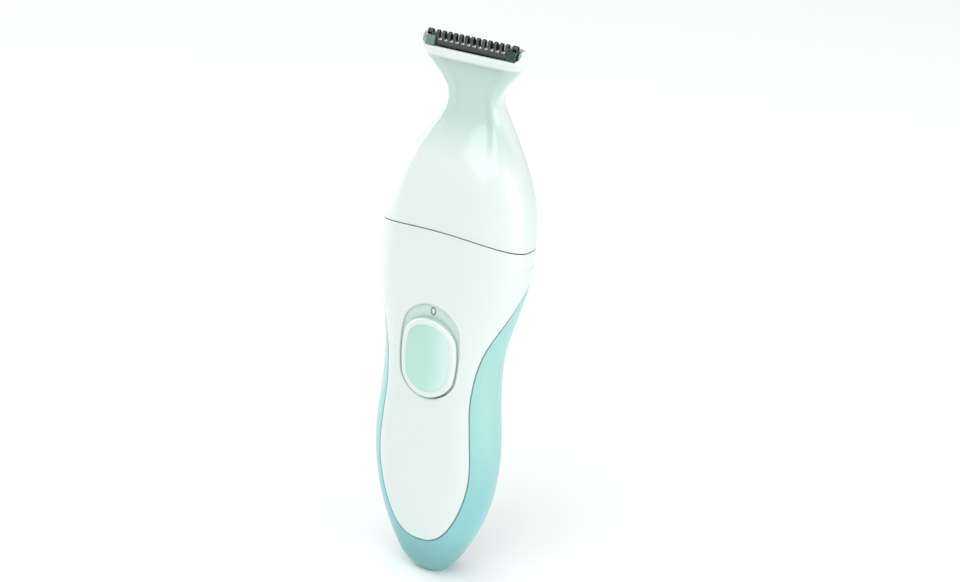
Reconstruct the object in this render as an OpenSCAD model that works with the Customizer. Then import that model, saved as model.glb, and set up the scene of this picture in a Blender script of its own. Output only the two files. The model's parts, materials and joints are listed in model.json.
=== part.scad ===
// Cordless body groomer: a slim handle with a sliding power button and a
// pull-off trimmer head.  Millimetres.  +Z runs up the handle, -Y is the front,
// and the origin is the centre of the small flat at the tip.

/* [Outline] */
// Width of the flat at the tip
tip_w = 9.6; // [9:0.2:10.4]
// Width across the hip, the widest place of the lower handle
hip_w = 38; // [37.4:0.2:39]
// Width at the waist, where the fingers close round the handle
waist_w = 35.4; // [35:0.2:36.4]
// Width at the shoulder, where the head joins the handle
shoulder_w = 44.2; // [43.8:0.2:46]
// Width of the neck under the blades
neck_w = 15.8; // [15.4:0.2:17]
// Width of the rim that carries the blades
rim_w = 29.6; // [29.2:0.2:30.4]
// Wall thickness of the moulded shells
wall = 1.8; // [1.6:0.05:1.9]

/* [Button] */
// Width of the sliding button cap
button_w = 17.2; // [15.6:0.2:17.6]
// Height of the sliding button cap
button_h = 22.8; // [21:0.2:23]
// How far the button slides up from off to on
button_travel = 3.2; // [2:0.1:3.2]

/* [Blades] */
// Number of teeth on the guard comb, between its two end blocks
tooth_count = 13; // [11:1:13]
// Spacing of the teeth
tooth_pitch = 1.7; // [1.5:0.1:1.7]
// Width of one guard tooth
tooth_w = 0.9; // [0.7:0.05:0.95]
// Offset of the crank pin from the motor shaft
crank_r = 0.7; // [0.4:0.05:0.7]

/* [Charging socket] */
// Radius of the charging plug's bore
socket_r = 1.8; // [1.4:0.1:1.9]
// Depth of the charging plug's bore
socket_depth = 8; // [6:0.5:8]

/* [Hidden] */

$fn = 64;
far = 40;              // longer than the part is wide, for cuts
gap = 0.1;             // air between two pieces that are assembled together
clear = 0.25;          // air beside a moving piece
white = "#f2f9f6";
teal = "#86cfd0";
mint = "#c4e6dc";
steel = "#c8ccd0";
dark = "#2c3030";

rim_z = 151.5;         // the rim's edge at the front
rim_back_z = 154.4;    // the edge rises beside the blades and stays high behind them
rim_rise_y = -2.4;     // where the rise starts
rim_level_y = -0.4;    // where it is level again
rim_back_y = 3;        // the back of the rim at its top

// The body's outline, one station a row: height, half width, front y, back y, and
// squareness, the exponent of the section's superellipse, where 2 is an ellipse
stations = [
    [0, tip_w / 2, -3.6, 4.0, 2.3],
    [3, tip_w / 2 + 2.7, -6.2, 6.6, 2.4],
    [8, tip_w / 2 + 5.8, -8.0, 7.6, 2.5],
    [16, hip_w / 2 - 4.6, -9.4, 7.9, 2.5],
    [28, hip_w / 2 - 1.1, -10.5, 8.0, 2.5],
    [42, hip_w / 2, -11.2, 7.8, 2.5],
    [58, waist_w / 2, -11.4, 7.2, 2.5],
    [74, waist_w / 2 + 0.5, -11.2, 7.0, 2.5],
    [90, shoulder_w / 2 - 0.3, -10.4, 8.6, 2.5],
    [104, shoulder_w / 2, -9.8, 10.8, 2.5],
    [116, shoulder_w / 2 - 2.4, -9.0, 12.2, 2.5],
    [126, neck_w / 2 + 6.4, -5.8, 12.0, 2.6],
    [134, neck_w / 2 + 1.4, -1.2, 10.4, 2.8],
    [141, neck_w / 2, -0.9, 7.8, 3.0],
    [146, rim_w / 2 - 3.4, -1.5, 5.6, 3.0],
    [149.4, rim_w / 2 - 0.8, -2.3, 4.2, 3.6],
    [rim_z, rim_w / 2, -3.0, 3.4, 4.0],
    [rim_back_z, rim_w / 2, -3.4, rim_back_y, 4.0]
];
outer_sides = 44;
inner_sides = 28;
rim_wall = 1.2;        // thinner wall where the head carries the blades

// The seam between the covers, seen from the side: height, y
seam = [[9, -10], [12.2, -8.9], [22, -8.5], [34, -8.5], [48, -9.1], [62, -9.1],
        [76, -7.4], [88, -2.4], [94, 3.4], [97.5, 9.4], [99, 14]];
seam_gap = 0.2;
seam_low = 12.6;
seam_high = 97.6;

// The parting line between handle and head is an arch: high at the front, low at the sides
parting_top = 105;
parting_drop = 2.6;
parting_gap = 0.2;

// Button
track_r = 9.3;
track_low = 57.6;
button_gap = 0.5;
track_high = track_low + button_h + button_travel + 2 * button_gap;
track_floor_y = -9.7;
track_floor = 0.9;
button_z = track_low + button_gap + button_h / 2;
button_face_y = -12.3;
slot_w = 5;
knob_low = 61.2;       // the slide switch's knob in its off place
knob_h = 1.4;

// Motor
motor_y = -1.4;
motor_r = 7.75;
motor_flat = 6;
motor_low = 67;
motor_high = 87.5;
end_bell = 2;
can_wall = 0.7;
shaft_r = 1;
running = 0.05;        // radial clearance of a shaft in its bearing

// Drive
cam_low = 90.4;
cam_high = 94.2;
cam_r = 3.5;
crank_pin_r = 1;
fork_z = 99.5;
pivot_z = 122;
drive_z = rim_z - 1.9;
arm_top = 142;         // where the lever narrows to its finger
lever_y = 3.2;         // the lever's upper arm runs through the middle of the neck
lower_arm = pivot_z - fork_z;
upper_arm = drive_z - pivot_z;
cutter_half_stroke = crank_r * upper_arm / lower_arm;
fork_half_slot = crank_pin_r + 2 * crank_r + clear;

// Cells
cell_r = 5.25;
cell_len = 44.5;
cell_low = 13.6;
cell_x = 6;
cell_y = -0.3;

// Coupling of the head
spigot_r = 6.5;
spigot_x = 6.5;
spigot_wall = 1.3;
deck_low = 97;
deck = 1.6;
post_x = 16.2;         // screws beside the spigot
spigot_high = 111;

// Blades, from front to back
block_front_y = -2.3;
guard_front_y = -1.35;
guard_t = 0.5;
cutter_y = -0.75;
cutter_t = 0.45;
guard_rear_y = -0.2;
guard_rear_t = 0.35;
blade_low = rim_z + gap;
tooth_low = rim_z + 2.1;
blade_top = rim_z + 4.1;
curl_r = 0.75;         // the teeth curl over the cutter
curl_z = blade_top - curl_r;
curl_t = 0.4;
screw_x = 9.3;
screw_y = 1.2;
cutter_top = curl_z + 0.1;
cutter_tooth_low = rim_z + 2;
yoke_x = 4;            // half width of the yoke that carries the cutter
comb_w = (tooth_count - 1) * tooth_pitch + tooth_w;
end_block_w = 2.5;
block_low_x = comb_w / 2 + gap;
block_high_x = block_low_x + end_block_w;
block_high = rim_z + 2.6;
bay_back_y = 2.1;      // back of the open bay that the blades stand in

// ---------------------------------------------------------------- curves
// Slope of column k at row i of a table whose first column is the height
function slope(t, i, k) =
    let (p = max(i - 1, 0), n = min(i + 1, len(t) - 1))
    (t[n][k] - t[p][k]) / (t[n][0] - t[p][0]);

// Last row whose height is not above z, leaving one row after it
function row_of(t, z) =
    min(len(t) - 2, max([for (i = [0:len(t) - 1]) t[i][0] <= z ? i : 0]));

// Smooth value of column k at height z
function at(t, z, k) =
    let (i = row_of(t, z), h = t[i + 1][0] - t[i][0], u = (z - t[i][0]) / h)
    (2 * u ^ 3 - 3 * u ^ 2 + 1) * t[i][k] + (u ^ 3 - 2 * u ^ 2 + u) * h * slope(t, i, k)
    + (3 * u ^ 2 - 2 * u ^ 3) * t[i + 1][k] + (u ^ 3 - u ^ 2) * h * slope(t, i + 1, k);

function power(v, squareness) = sign(v) * abs(v) ^ (2 / squareness);

// Inset at height z: past the full wall it eases to the rim's thinner wall
function inset_at(z, inset) =
    inset < wall ? inset : inset - (wall - rim_wall) * min(1, max(0, (z - 134) / 13));

// One section of the body at height z, a closed superellipse
function section(z, inset = 0, sides = outer_sides) =
    let (
        a = at(stations, z, 1) - inset,
        front = at(stations, z, 2) + inset,
        back = at(stations, z, 3) - inset,
        squareness = at(stations, z, 4)
    )
    [for (j = [0:sides - 1]) let (t = 360 * j / sides)
        [a * power(cos(t), squareness),
         (front + back) / 2 + (back - front) / 2 * power(sin(t), squareness)]];

// Heights of the rows between low and high: every station, and points between them
function rows(low, high, split) = concat(
    [low],
    [for (i = [0:len(stations) - 2]) for (k = [0:split - 1])
        let (z = stations[i][0] + (stations[i + 1][0] - stations[i][0]) * k / split)
        if (z > low + 0.4 && z < high - 0.4) z],
    [high]);

function parting_z(x) = parting_top - parting_drop * (2 * x / shoulder_w) ^ 2;

// ---------------------------------------------------------------- helpers
// The body as a closed solid between two heights
module loft(low, high, inset = 0, sides = outer_sides, split = 2) {
    heights = rows(low, high, split);
    last = len(heights) - 1;
    points = [for (z = heights) for (p = section(z, inset_at(z, inset), sides)) [p[0], p[1], z]];
    walls = [for (i = [0:last - 1]) for (j = [0:sides - 1])
        let (a = i * sides + j, b = i * sides + (j + 1) % sides)
        each [[a, b + sides, b], [a, a + sides, b + sides]]];
    polyhedron(points, concat(
        [[for (j = [0:sides - 1]) j]],
        [[for (j = [sides - 1:-1:0]) last * sides + j]],
        walls));
}

// Keeps a cut shell as one smooth mesh of its own size
module one_mesh() {
    resize([0, 0, 0]) children();
}

// Half width of the front cover's face at height z, where the seam meets the outline
function seam_x(z) =
    let (
        front = at(stations, z, 2),
        back = at(stations, z, 3),
        squareness = at(stations, z, 4),
        q = min(1, abs(at(seam, z, 1) - (front + back) / 2) / ((back - front) / 2))
    )
    at(stations, z, 1) * (1 - q ^ squareness) ^ (1 / squareness);

// Angle at the section's middle from the front round to the seam
function seam_angle(z) =
    atan2(seam_x(z), (at(stations, z, 2) + at(stations, z, 3)) / 2 - at(seam, z, 1));

// Everything in front of the seam: a wedge from the middle of each section,
// narrowed by g on both sides, which opens to the whole ring above the seam
module front_side(g) {
    rays = 6;
    steps = 40;
    heights = [for (i = [1:steps - 1])
        seam_low + (seam_high - seam_low) * (1 - cos(180 * i / steps)) / 2];
    reach = far + 10;
    points = [for (z = heights)
        let (mid = (at(stations, z, 2) + at(stations, z, 3)) / 2)
        each concat(
            [[0, mid - g, z + g]],
            [for (k = [-rays:rays])
                let (t = max(0.5, seam_angle(z) - g * 4) * k / rays)
                [reach * sin(t), mid - reach * cos(t), z + g]])];
    n = 2 * rays + 2;
    last = len(heights) - 1;
    walls = [for (i = [0:last - 1]) for (j = [0:n - 1])
        let (a = i * n + j, b = i * n + (j + 1) % n)
        each [[a, b + n, b], [a, a + n, b + n]]];
    polyhedron(points, concat(
        [[for (j = [0:n - 1]) j]],
        [[for (j = [n - 1:-1:0]) last * n + j]],
        walls));
    translate([-far, -far, heights[last] + g]) cube(2 * far);
}

// Everything below the parting line, moved up by g
module below_parting(g) {
    rotate([90, 0, 0])
        linear_extrude(2 * far, center = true)
            polygon(concat(
                [for (i = [-12:12]) let (x = i / 12 * 24) [x, parting_z(x) + g]],
                [[24, -10], [-24, -10]]));
}

// Everything above the rim's edge: level in front, then a steep slope up at the sides
module above_rim() {
    run = rim_level_y - rim_rise_y;
    rise = rim_back_z - rim_z;
    translate([-far / 2, 0, 0]) rotate([90, 0, 90]) linear_extrude(far)
        polygon([[-far, rim_z], [rim_rise_y, rim_z], [rim_rise_y + 2 * run, rim_z + 2 * rise],
            [-far, rim_z + 2 * rise]]);
}

// A flat bar with round ends: r at each end, centres x apart from the middle
module round_bar(r, x, height) {
    linear_extrude(height) {
        translate([-x, 0]) circle(r);
        translate([x, 0]) circle(r);
        translate([-x, -r]) square([2 * x, 2 * r]);
    }
}

// An upright pill on the front face, from y_out inwards by depth
module pill(r, low, high, y_out, depth) {
    translate([0, y_out + depth, 0])
        rotate([90, 0, 0])
            linear_extrude(depth) {
                translate([0, low + r]) circle(r);
                translate([0, high - r]) circle(r);
                translate([-r, low + r]) square([2 * r, high - low - 2 * r]);
            }
}

// A cylinder along Y from y_low
module y_rod(r, y_low, length) {
    translate([0, y_low, 0]) rotate([-90, 0, 0]) cylinder(r = r, h = length);
}

// A box from its lowest corner to its highest
module block(low, high) {
    translate(low) cube(high - low);
}

// A small round-headed screw pointing down, its head's seat at z = 0
module screw(shank_r, shank, head_r, head) {
    translate([0, 0, -shank]) cylinder(r = shank_r, h = shank);
    difference() {
        cylinder(r = head_r, h = head);
        for (turn = [0, 90]) rotate(turn)
            translate([-head_r * 0.6, -0.15, head / 2]) cube([head_r * 1.2, 0.3, head]);
    }
}

// ---------------------------------------------------------------- handle shells
module handle_shell() {
    difference() {
        intersection() {
            loft(0, 110);
            below_parting(0);
        }
        loft(3, 112, wall, inner_sides, 2);
        translate([0, 0, -1]) cylinder(r = socket_r + 1 + gap, h = 12);
    }
}

module front_cover() {
    color(white) one_mesh()
        difference() {
            intersection() {
                handle_shell();
                front_side(seam_gap / 2);
            }
            pill(track_r + 0.55, track_low - 0.55, track_high + 0.55, -far / 2, far / 2 - 6);
        }
}

module rear_cover() {
    color(teal) one_mesh()
        difference() {
            handle_shell();
            front_side(-seam_gap / 2);
        }
}

// Dish that the button slides in, with a slot for the button's stem
module switch_track() {
    color("#dfeee9") one_mesh()
        intersection() {
            loft(50, 92, gap);
            difference() {
                pill(track_r + 0.45, track_low - 0.45, track_high + 0.45, -far / 2,
                     far / 2 + track_floor_y + track_floor);
                pill(track_r, track_low, track_high, -far / 2, far / 2 + track_floor_y);
                pill(slot_w / 2 + clear, button_z - 6, button_z + 6 + button_travel, -far / 2, far);
            }
        }
}

// ---------------------------------------------------------------- handle insides
// Moulded frame: a spine between the cells, a plate above them, side rails and a motor bulkhead
module chassis() {
    rail_in = 11.2;
    rail_out = 12.4;
    bulkhead = motor_high + 0.8;
    cell_top = cell_low + cell_len + 0.7;
    color("#d9dcd8")
        difference() {
            union() {
                block([-0.55, cell_y - 4.6, cell_low - 0.9], [0.55, cell_y + 4.6, cell_top]);
                block([-7, cell_y - 4.6, cell_low - 1.4], [7, cell_y + 4.6, cell_low - 0.7]);
                block([-rail_out, -6, cell_top - 0.1], [rail_out, 2.8, cell_top + 1]);
                for (side = [-1, 1]) scale([side, 1, 1])
                    block([rail_in, -3.2, cell_top], [rail_out, 2.6, bulkhead + 1]);
                block([-rail_out, -7.2, bulkhead], [rail_out, 4.4, bulkhead + 1.2]);
                block([-post_x - 1.5, -1.5, bulkhead], [post_x + 1.5, 1.5, bulkhead + 1.2]);
                for (x = [-post_x, post_x]) translate([x, 0, bulkhead])
                    cylinder(r = 1.5, h = deck_low - gap - bulkhead);
            }
            translate([0, motor_y, bulkhead - 1]) cylinder(r = 3.2, h = 4);
            for (x = [-post_x, post_x]) translate([x, 0, 90]) cylinder(r = 0.75, h = 10);
            for (x = [-9, 9]) translate([x, -5.2, bulkhead - 1]) cylinder(r = 0.7, h = 4);
            block([-1, cell_y - 2.2, cell_low - 0.4], [1, cell_y + 2.2, cell_low]);
        }
}

// One AAA-size cell with its raised positive end
module cell(x) {
    color("#3f8f63") translate([x, cell_y, cell_low]) {
        cylinder(r = cell_r, h = cell_len - 1);
        cylinder(r = 1.9, h = cell_len);
    }
}

module battery_cell_left() {
    cell(-cell_x);
}

module battery_cell_right() {
    cell(cell_x);
}

// Nickel strip that joins the two cells at the bottom
module cell_link() {
    color(steel) block([-9, cell_y - 2, cell_low - 0.3], [9, cell_y + 2, cell_low - 0.1]);
}

// Nickel tabs from the cells' tops to the board
module cell_tabs() {
    color(steel) for (side = [-1, 1]) scale([side, 1, 1]) {
        block([3.4, cell_y - 5, cell_low + cell_len + 0.1], [8.6, cell_y + 2, cell_low + cell_len + 0.35]);
        block([3.4, -6.1, cell_low + cell_len - 5], [6.4, -5.85, cell_low + cell_len + 0.35]);
        block([3.4, -6.1, cell_low + cell_len + 0.1], [6.4, cell_y - 5, cell_low + cell_len + 0.35]);
    }
}

module circuit_board() {
    color("#2f7d4f") difference() {
        block([-7.6, -7.3, 26], [7.6, -6.3, 57.2]);
        for (x = [-5.6, 5.6]) translate([x, 0, 30]) y_rod(0.9, -8, 3);
    }
}

// Charge control parts on the front of the board
module board_components() {
    color(dark) {
        block([-2.4, -8.6, 34], [2.4, -7.3, 39]);
        for (i = [0:3]) block([-6 + 3.4 * i, -8.1, 44], [-4.4 + 3.4 * i, -7.3, 46.6]);
        translate([4.6, 0, 50]) y_rod(1.6, -8.7, 1.4);
    }
}

// Slide switch behind the button, with a window for its knob
module switch_block() {
    color("#3a3f42") difference() {
        block([-4.3, -6.9, 60.4], [4.3, -2.6, 66.6]);
        block([-1.3, -7.2, knob_low - 0.3], [1.3, -4.4, knob_low + knob_h + button_travel + 0.3]);
    }
}

// Charging jack at the tip: a plain bore for the plug
module charge_socket() {
    color(dark) difference() {
        cylinder(r = socket_r + 1, h = socket_depth + 1.6);
        translate([0, 0, -1]) cylinder(r = socket_r, h = socket_depth + 1);
    }
}

// Spring contact behind the jack, with two solder legs
module socket_contact() {
    color(steel) {
        translate([0, 0, socket_depth + 1.7]) cylinder(r = 1.6, h = 0.4);
        for (x = [-0.9, 0.9]) translate([x, 0, socket_depth + 2]) cylinder(r = 0.25, h = 1.3);
    }
}

// The motor's round outline with its two flats
module motor_outline(r, flat, low, high) {
    translate([0, motor_y, low])
        intersection() {
            cylinder(r = r, h = high - low);
            translate([-far / 2, -flat, -1]) cube([far, 2 * flat, high - low + 2]);
        }
}

module motor_can() {
    color(steel) difference() {
        union() {
            motor_outline(motor_r, motor_flat, motor_low + end_bell, motor_high);
            translate([0, motor_y, motor_high - 0.1]) cylinder(r = 3, h = 1.7);
        }
        motor_outline(motor_r - can_wall, motor_flat - can_wall,
                      motor_low + end_bell - 1, motor_high - can_wall);
        translate([0, motor_y, motor_low]) cylinder(r = shaft_r + running, h = 30);
    }
}

module motor_end_bell() {
    color("#e8e4d8") difference() {
        union() {
            motor_outline(motor_r, motor_flat, motor_low, motor_low + end_bell);
            motor_outline(motor_r - can_wall - gap, motor_flat - can_wall - gap,
                          motor_low + end_bell - 0.1, motor_low + end_bell + 1);
        }
        translate([0, motor_y, motor_low + 0.6]) cylinder(r = 2.6, h = 4);
        translate([0, motor_y, motor_low - 1]) cylinder(r = shaft_r + running, h = 4);
        for (x = [-4, 4])
            block([x - 0.9, motor_y - 0.35, motor_low - 1], [x + 0.9, motor_y + 0.35, motor_low + 4]);
    }
}

module motor_terminals() {
    color("#c9a25a") for (x = [-4, 4])
        block([x - 0.8, motor_y - 0.25, motor_low - 1.8], [x + 0.8, motor_y + 0.25, motor_low + 3.2]);
}

// Leaf brushes that press on the commutator
module motor_brushes() {
    color("#c9a25a") for (side = [-1, 1]) scale([side, 1, 1])
        block([1.95, motor_y - 2.4, motor_low + 3.3], [2.15, motor_y + 2.4, motor_low + 5]);
}

module field_magnets() {
    color("#4a4a4e") difference() {
        motor_outline(motor_r - can_wall - gap, motor_flat - can_wall - gap, 72.5, 86.2);
        translate([0, motor_y, 72]) cylinder(r = 5.2, h = 15);
        block([-3.6, motor_y - 8, 72], [3.6, motor_y + 8, 87]);
    }
}

// Rubber pads between the motor's round sides and the rails
module motor_dampers() {
    color("#26292b") for (side = [-1, 1]) scale([side, 1, 1]) difference() {
        block([7, motor_y - 3, 72], [11.1, motor_y + 3, 82]);
        translate([0, motor_y, 71]) cylinder(r = motor_r + gap, h = 12);
    }
}

// Deck that closes the handle, with the hollow spigot that carries the head
module drive_collar() {
    inner_r = spigot_r - spigot_wall;
    seal_z = deck_low + deck + 1.6;
    color(white) difference() {
        union() {
            translate([0, 0, deck_low]) linear_extrude(deck)
                polygon(section(deck_low, wall + 4 * gap, inner_sides));
            translate([0, 0, deck_low]) round_bar(spigot_r, spigot_x, spigot_high - deck_low);
        }
        translate([0, 0, deck_low - 1]) round_bar(inner_r, spigot_x, spigot_high);
        for (x = [-post_x, post_x]) translate([x, 0, deck_low - 1]) cylinder(r = 0.85, h = 4);
        translate([0, 0, seal_z]) difference() {
            round_bar(spigot_r + 1, spigot_x, 1.2);
            translate([0, 0, -1]) round_bar(spigot_r - 0.5, spigot_x, 3);
        }
    }
}

// Ring that keeps hair clippings out of the handle
module collar_seal() {
    seal_z = deck_low + deck + 1.6;
    color("#5b6668") translate([0, 0, seal_z + 0.1]) difference() {
        round_bar(spigot_r + 0.4, spigot_x, 1);
        translate([0, 0, -1]) round_bar(spigot_r - 0.45, spigot_x, 3);
    }
}

// Screws that hold the motor bulkhead
module chassis_screws() {
    color(steel) for (x = [-9, 9])
        translate([x, -5.2, motor_high + 2.1]) screw(0.65, 3, 1.3, 0.8);
}

// Screws through the deck into the chassis posts, hidden under the head
module collar_screws() {
    color(steel) for (x = [-post_x, post_x])
        translate([x, 0, deck_low + deck]) screw(0.7, 5, 1.5, 0.9);
}

// ---------------------------------------------------------------- power button
button_low = track_low + button_gap;
button_high = button_low + button_h;
pad_r = button_w / 2 - 1.7;
pad_low = button_low + 1.7;
pad_high = button_high - 1.7;

// White cap: a raised rim round a pocket for the pad, and a stem through the track
module button_cap() {
    r = button_w / 2;
    color(white) difference() {
        union() {
            intersection() {
                pill(r, button_low, button_high, button_face_y, track_floor_y - clear - button_face_y);
                translate([0, 28 + button_face_y, 0]) cylinder(r = 28, h = 120, $fn = 128);
            }
            pill(slot_w / 2, button_z - 5.6, button_z + 5.6, track_floor_y - 1.2, 2.1);
        }
        pill(pad_r, pad_low, pad_high, button_face_y - 2, 3.2);
    }
}

// Soft pad with a shallow dish for the thumb
module button_pad() {
    dish_r = 60;
    color(mint) difference() {
        intersection() {
            pill(pad_r - gap, pad_low + gap, pad_high - gap, button_face_y + 0.1, 1.05);
            translate([0, 28 + button_face_y + 0.1, 0]) cylinder(r = 28, h = 120, $fn = 128);
        }
        translate([0, button_face_y + 0.65 - dish_r, button_z]) sphere(r = dish_r, $fn = 180);
    }
}

// Plate behind the track that holds the button and pushes the switch
module button_slider() {
    color("#d9dcd8") difference() {
        union() {
            block([-4.6, -8.6, button_z - 7], [4.6, -7.75, button_z + 7]);
            block([-1.8, -8.6, knob_low - 0.6], [1.8, -7.75, button_z]);
        }
        block([-0.75, -9, knob_low - gap], [0.75, -7, knob_low + knob_h + gap]);
    }
}

module switch_knob() {
    color("#e9e6dc") block([-0.65, -8.5, knob_low], [0.65, -4.6, knob_low + knob_h]);
}

// ---------------------------------------------------------------- motor rotor
module motor_shaft() {
    color(steel) translate([0, motor_y, motor_low + 0.3]) cylinder(r = shaft_r, h = 26.5);
}

// Three-pole laminated core
module armature() {
    color("#8a8f94") translate([0, motor_y, 74]) difference() {
        cylinder(r = 4.8, h = 10);
        translate([0, 0, -1]) cylinder(r = shaft_r, h = 12);
        for (pole = [0:2]) rotate(120 * pole + 60) {
            translate([1.9, -0.5, -1]) cube([4, 1, 12]);
            translate([2.9, 0, -1]) cylinder(r = 1.1, h = 12);
        }
    }
}

// Coil ends above and below the core
module armature_windings() {
    color("#b5622d") for (z = [73, 84.1]) translate([0, motor_y, z]) difference() {
        cylinder(r = 4.2, h = 0.9);
        translate([0, 0, -1]) cylinder(r = 2, h = 3);
    }
}

module commutator() {
    color("#c77f45") translate([0, motor_y, motor_low + 2.9]) difference() {
        cylinder(r = 1.8, h = 2.6);
        translate([0, 0, -1]) cylinder(r = shaft_r, h = 5);
        for (turn = [0:2]) rotate(120 * turn) translate([1.4, -0.1, -1]) cube([1, 0.2, 5]);
    }
}

// Hub pressed on the shaft, with the crank pin beside the shaft's axis
module drive_cam() {
    color("#e9e6dc") translate([0, motor_y, 0]) difference() {
        union() {
            translate([0, 0, cam_low]) cylinder(r = cam_r, h = cam_high - cam_low);
            translate([crank_r, 0, cam_high - 0.1]) cylinder(r = crank_pin_r, h = fork_z + 1.6 - cam_high);
        }
        translate([0, 0, cam_low - 1]) cylinder(r = shaft_r, h = motor_low + 26.8 - cam_low + 1);
    }
}

// ---------------------------------------------------------------- head
module head_shell() {
    color(white) one_mesh()
        difference() {
            loft(100, rim_back_z);
            loft(98, rim_back_z + 0.01, wall, inner_sides, 2);
            below_parting(parting_gap);
            above_rim();
            block([-block_high_x - gap, -far / 2, rim_z], [block_high_x + gap, bay_back_y, rim_z + 10]);
        }
}

// Ring inside the head that slides over the spigot, with two latch arms and side lugs
module head_base() {
    low = 105.8;
    high = 111.6;
    color("#e3e8e6") difference() {
        union() {
            translate([0, 0.3, low]) round_bar(7.3, 8.5, high - low);
            for (side = [-1, 1]) scale([side, 1, 1]) {
                block([15, -2, low], [18.4, 2.7, low + 2]);
                block([spigot_r + spigot_x + 0.2, -2.4, 102.6], [spigot_r + spigot_x + 1.5, 3, low + 1]);
            }
        }
        translate([0, 0, low - 1]) round_bar(spigot_r + 0.15, spigot_x, high - low + 2);
    }
}

// Bracket that holds the lever's pin between two ears
module pivot_bracket() {
    base_z = 114;
    color("#e3e8e6") difference() {
        union() {
            block([-10.5, -5.2, base_z], [10.5, 7.4, base_z + 1.4]);
            for (y = [-4.4, 5.2]) {
                block([-2.6, y, base_z + 1], [2.6, y + 1.2, pivot_z]);
                translate([0, 0, pivot_z]) y_rod(2.6, y, 1.2);
            }
            for (x = [-10.5, 9.3]) block([x, -3, 111.8], [x + 1.2, 5, base_z + 0.5]);
        }
        block([-5.2, -3.1, base_z - 1], [5.2, 4.6, base_z + 3]);
        translate([0, 0, pivot_z]) y_rod(shaft_r, -8, 20);
    }
}

module lever_pin() {
    color(steel) translate([0, 0, pivot_z]) y_rod(shaft_r, -4.4, 10.8);
}

// Plate that fills the rim and carries the blades
module blade_holder() {
    color(dark) difference() {
        union() {
            loft(rim_z - 2.8, rim_z - 0.3, wall + 3 * gap, inner_sides, 1);
            for (x = [-screw_x, screw_x]) block([x - 1.1, 0.35, rim_z - 0.4], [x + 1.1, 1.85, rim_z + 0.4]);
        }
        block([-yoke_x - cutter_half_stroke - clear, -0.8, rim_z - 4],
              [yoke_x + cutter_half_stroke + clear, 2.2, rim_z]);
        for (x = [-screw_x, screw_x]) translate([x, screw_y, rim_z - 4]) cylinder(r = 0.5, h = 8);
    }
}

// Side view of one guard tooth: up the front, over the cutter in a curl, and down the rear
module tooth_profile(low) {
    translate([guard_front_y, low]) square([guard_t, curl_z - low]);
    translate([guard_rear_y, low]) square([guard_rear_t, curl_z - low]);
    intersection() {
        translate([guard_front_y + curl_r, curl_z]) difference() {
            circle(curl_r);
            circle(curl_r - curl_t);
        }
        translate([guard_front_y, curl_z - 0.01]) square([2 * curl_r, curl_r + 0.01]);
    }
}

module guard_tooth(x_low, x_high, low) {
    translate([x_low, 0, 0]) rotate([90, 0, 90]) linear_extrude(x_high - x_low) tooth_profile(low);
}

// Fixed comb: front and rear plates joined by curled teeth, and a wing with a broad end tooth
// over each end block
module guard_comb() {
    wing_low = block_high + 0.05;
    wing_high = curl_z - 0.1;
    color("#3a3e3d") {
        block([-comb_w / 2, guard_front_y, blade_low], [comb_w / 2, guard_front_y + guard_t, tooth_low]);
        block([-comb_w / 2, guard_rear_y, rim_z + 0.5],
              [comb_w / 2, guard_rear_y + guard_rear_t, tooth_low]);
        for (i = [0:tooth_count - 1]) {
            x = (i - (tooth_count - 1) / 2) * tooth_pitch;
            guard_tooth(x - tooth_w / 2, x + tooth_w / 2, tooth_low - 0.1);
        }
        for (side = [-1, 1]) scale([side, 1, 1]) {
            block([comb_w / 2 - 0.1, guard_front_y, wing_low],
                  [block_high_x, guard_front_y + guard_t, wing_high]);
            guard_tooth(block_high_x - 1.6, block_high_x, wing_low);
        }
    }
}

// Blocks that clamp the comb's two ends
module blade_end_blocks() {
    color("#2f4541") for (side = [-1, 1]) scale([side, 1, 1])
        block([block_low_x, block_front_y, blade_low], [block_high_x, 0.9, block_high]);
}

// Leaf that presses the comb's rear plate on the cutter, with a foot under each screw
module blade_spring() {
    foot = rim_z + 0.45;
    color(steel) difference() {
        union() {
            block([-comb_w / 2, 0.25, foot + 0.1], [comb_w / 2, 0.4, rim_z + 1.5]);
            for (x = [-screw_x, screw_x]) block([x - 1.2, 0.25, foot], [x + 1.2, 1.9, foot + 0.2]);
        }
        for (x = [-screw_x, screw_x]) translate([x, screw_y, foot - 1]) cylinder(r = 0.55, h = 2);
    }
}

module holder_screws() {
    color(steel) for (x = [-screw_x, screw_x])
        translate([x, screw_y, rim_z + 0.7]) screw(0.45, 2.6, 0.7, 0.5);
}

// ---------------------------------------------------------------- drive lever
// Rocker: a fork round the crank pin, a hub on the pin, and a finger into the cutter's carrier
module drive_lever() {
    fork_w = fork_half_slot + 1.3;
    color("#e9e6dc") difference() {
        union() {
            block([-fork_w, motor_y - 2.4, fork_z - 2], [fork_w, motor_y + 2.4, fork_z + 4.4]);
            block([-2.1, motor_y - 1.2, fork_z + 4], [2.1, motor_y + 1.2, pivot_z]);
            translate([0, 0, pivot_z]) y_rod(2.6, -2.9, 7.8);
            block([-1.9, lever_y - 1, pivot_z], [1.9, lever_y + 1, arm_top]);
            translate([0, lever_y, arm_top]) y_rod(1.9, -1, 2);
            translate([0, lever_y - 0.2, arm_top - 0.4]) rotate([15, 0, 0]) cylinder(r = 0.75, h = 8.6);
        }
        block([-fork_half_slot, motor_y - 3, fork_z - 3], [fork_half_slot, motor_y + 3, fork_z + 2.4]);
        translate([0, 0, pivot_z]) y_rod(shaft_r + running, -5, 12);
    }
}

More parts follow.
